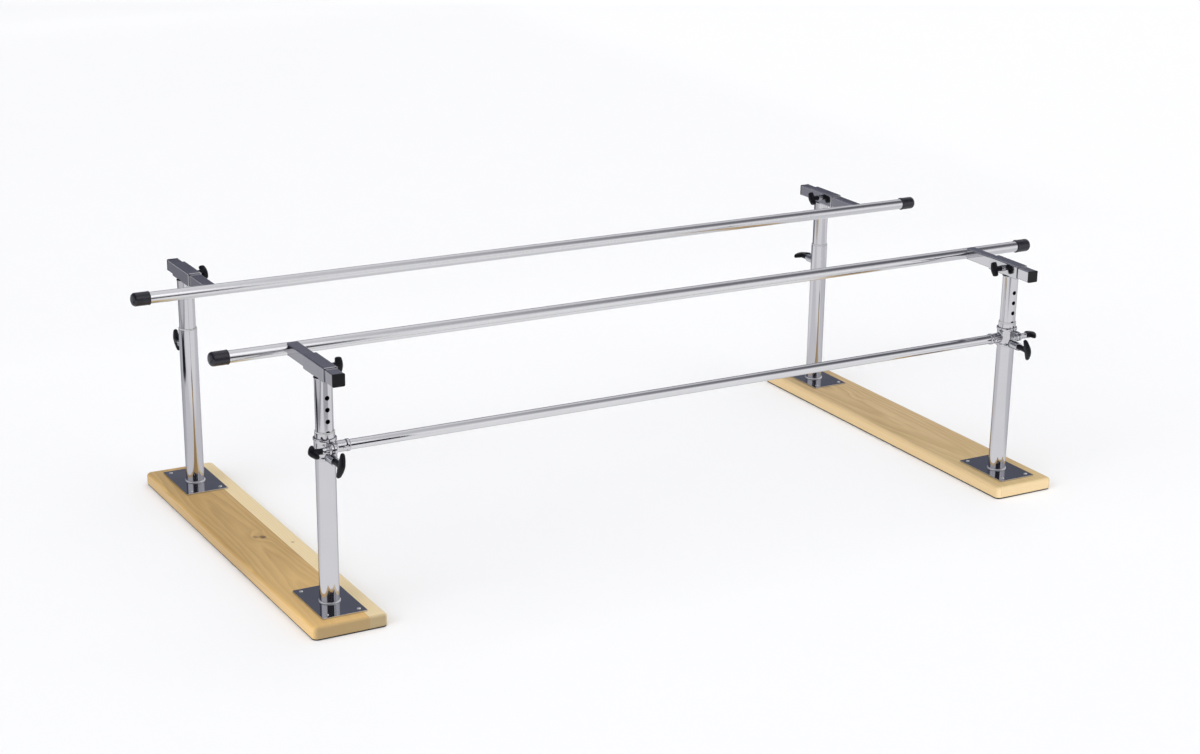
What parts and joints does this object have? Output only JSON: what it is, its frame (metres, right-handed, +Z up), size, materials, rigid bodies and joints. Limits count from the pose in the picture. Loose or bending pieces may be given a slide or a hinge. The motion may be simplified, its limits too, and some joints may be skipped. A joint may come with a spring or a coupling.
{
  "type": "rehab walking parallel bars",
  "caption": "Walking parallel bars with chromed telescopic posts on wooden floor boards, sliding cross arms, pull-pin height locks, clamp handles and a low side brace.",
  "frame": {"origin": "on the floor, at the middle of the rectangle that the four posts make", "axes": "+X along the handrails to the right of the picture, +Y across them to the far rail, +Z up"},
  "size_m": [3.036, 1.48, 0.796],
  "materials": {
    "maple_board": "clear lacquer over maple",
    "rubber_mat": "matte black",
    "polished_plate": "mirror polished chrome plate",
    "zinc_fastener": "bright zinc plate",
    "chrome_tube": "bright chrome plate",
    "nylon_bush": "natural nylon",
    "chrome_fitting": "bright chrome plate",
    "steel_pin": "ground steel",
    "spring_steel": "drawn wire",
    "black_handle": "satin black moulding",
    "black_plug": "fine-textured black moulding",
    "satin_rail": "satin polished steel",
    "rubber_cap": "satin black rubber"
  },
  "bodies": {
    "base": {"left_board": "maple_board", "right_board": "maple_board", "left_mat": "rubber_mat", "right_mat": "rubber_mat", "near_left_plate": "polished_plate", "near_right_plate": "polished_plate", "far_left_plate": "polished_plate", "far_right_plate": "polished_plate", "plate_screws": "zinc_fastener", "near_left_outer_tube": "chrome_tube", "near_right_outer_tube": "chrome_tube", "far_left_outer_tube": "chrome_tube", "far_right_outer_tube": "chrome_tube", "guide_bushes": "nylon_bush", "near_left_pin_housing": "chrome_fitting", "near_right_pin_housing": "chrome_fitting", "far_left_pin_housing": "chrome_fitting", "far_right_pin_housing": "chrome_fitting", "near_left_pin_spring": "spring_steel", "near_right_pin_spring": "spring_steel", "far_left_pin_spring": "spring_steel", "far_right_pin_spring": "spring_steel", "near_left_collar": "chrome_fitting", "near_right_collar": "chrome_fitting", "collar_nuts": "zinc_fastener", "brace_tube": "chrome_tube", "brace_bolts": "zinc_fastener"},
    "near_lift": {"near_left_inner_tube": "chrome_tube", "near_right_inner_tube": "chrome_tube", "near_left_sleeve": "chrome_fitting", "near_right_sleeve": "chrome_fitting"},
    "far_lift": {"far_left_inner_tube": "chrome_tube", "far_right_inner_tube": "chrome_tube", "far_left_sleeve": "chrome_fitting", "far_right_sleeve": "chrome_fitting"},
    "near_bar": {"near_rail": "satin_rail", "near_left_arm": "chrome_tube", "near_right_arm": "chrome_tube", "near_rail_caps": "rubber_cap", "near_arm_plugs": "black_plug"},
    "far_bar": {"far_rail": "satin_rail", "far_left_arm": "chrome_tube", "far_right_arm": "chrome_tube", "far_rail_caps": "rubber_cap", "far_arm_plugs": "black_plug"},
    "near_left_pin": {"near_left_pull_pin": "steel_pin", "near_left_pull_handle": "black_handle"},
    "near_right_pin": {"near_right_pull_pin": "steel_pin", "near_right_pull_handle": "black_handle"},
    "far_left_pin": {"far_left_pull_pin": "steel_pin", "far_left_pull_handle": "black_handle"},
    "far_right_pin": {"far_right_pull_pin": "steel_pin", "far_right_pull_handle": "black_handle"},
    "near_left_collar_screw": {"near_left_collar_knob": "black_handle"},
    "near_right_collar_screw": {"near_right_collar_knob": "black_handle"},
    "near_left_arm_screw": {"near_left_arm_knob": "black_handle"},
    "near_right_arm_screw": {"near_right_arm_knob": "black_handle"},
    "far_left_arm_screw": {"far_left_arm_knob": "black_handle"},
    "far_right_arm_screw": {"far_right_arm_knob": "black_handle"}
  },
  "joints": [
    {"name": "near_lift_slide", "type": "slide", "parent": "base", "child": "near_lift", "axis": [0, 0, 1], "range_m": [-0.144, 0.288]},
    {"name": "far_lift_slide", "type": "slide", "parent": "base", "child": "far_lift", "axis": [0, 0, 1], "range_m": [-0.144, 0.288]},
    {"name": "near_bar_slide", "type": "slide", "parent": "near_lift", "child": "near_bar", "axis": [0, 1, 0], "range_m": [-0.11, 0.055]},
    {"name": "far_bar_slide", "type": "slide", "parent": "far_lift", "child": "far_bar", "axis": [0, -1, 0], "range_m": [-0.11, 0.055]},
    {"name": "near_left_pin_pull", "type": "slide", "parent": "base", "child": "near_left_pin", "axis": [0, -1, 0], "range_m": [0, 0.01], "stiffness_N_per_m": 800, "springref_m": -0.006, "deforming": ["near_left_pin_spring"]},
    {"name": "near_right_pin_pull", "type": "slide", "parent": "base", "child": "near_right_pin", "axis": [0, -1, 0], "range_m": [0, 0.01], "stiffness_N_per_m": 800, "springref_m": -0.006, "deforming": ["near_right_pin_spring"]},
    {"name": "far_left_pin_pull", "type": "slide", "parent": "base", "child": "far_left_pin", "axis": [0, 1, 0], "range_m": [0, 0.01], "stiffness_N_per_m": 800, "springref_m": -0.006, "deforming": ["far_left_pin_spring"]},
    {"name": "far_right_pin_pull", "type": "slide", "parent": "base", "child": "far_right_pin", "axis": [0, 1, 0], "range_m": [0, 0.01], "stiffness_N_per_m": 800, "springref_m": -0.006, "deforming": ["far_right_pin_spring"]},
    {"name": "near_left_collar_turn", "type": "hinge", "parent": "base", "child": "near_left_collar_screw", "pos_m": [-1.307, -0.637, 0.544], "axis": [-1, 0, 0], "range_deg": [0, 360]},
    {"name": "near_right_collar_turn", "type": "hinge", "parent": "base", "child": "near_right_collar_screw", "pos_m": [1.307, -0.637, 0.544], "axis": [1, 0, 0], "range_deg": [0, 360]},
    {"name": "near_left_arm_turn", "type": "hinge", "parent": "near_lift", "child": "near_left_arm_screw", "pos_m": [-1.21, -0.559, 0.771], "axis": [1, 0, 0], "range_deg": [0, 360]},
    {"name": "near_right_arm_turn", "type": "hinge", "parent": "near_lift", "child": "near_right_arm_screw", "pos_m": [1.21, -0.559, 0.771], "axis": [-1, 0, 0], "range_deg": [0, 360]},
    {"name": "far_left_arm_turn", "type": "hinge", "parent": "far_lift", "child": "far_left_arm_screw", "pos_m": [-1.21, 0.559, 0.771], "axis": [1, 0, 0], "range_deg": [0, 360]},
    {"name": "far_right_arm_turn", "type": "hinge", "parent": "far_lift", "child": "far_right_arm_screw", "pos_m": [1.21, 0.559, 0.771], "axis": [-1, 0, 0], "range_deg": [0, 360]}
  ]
}
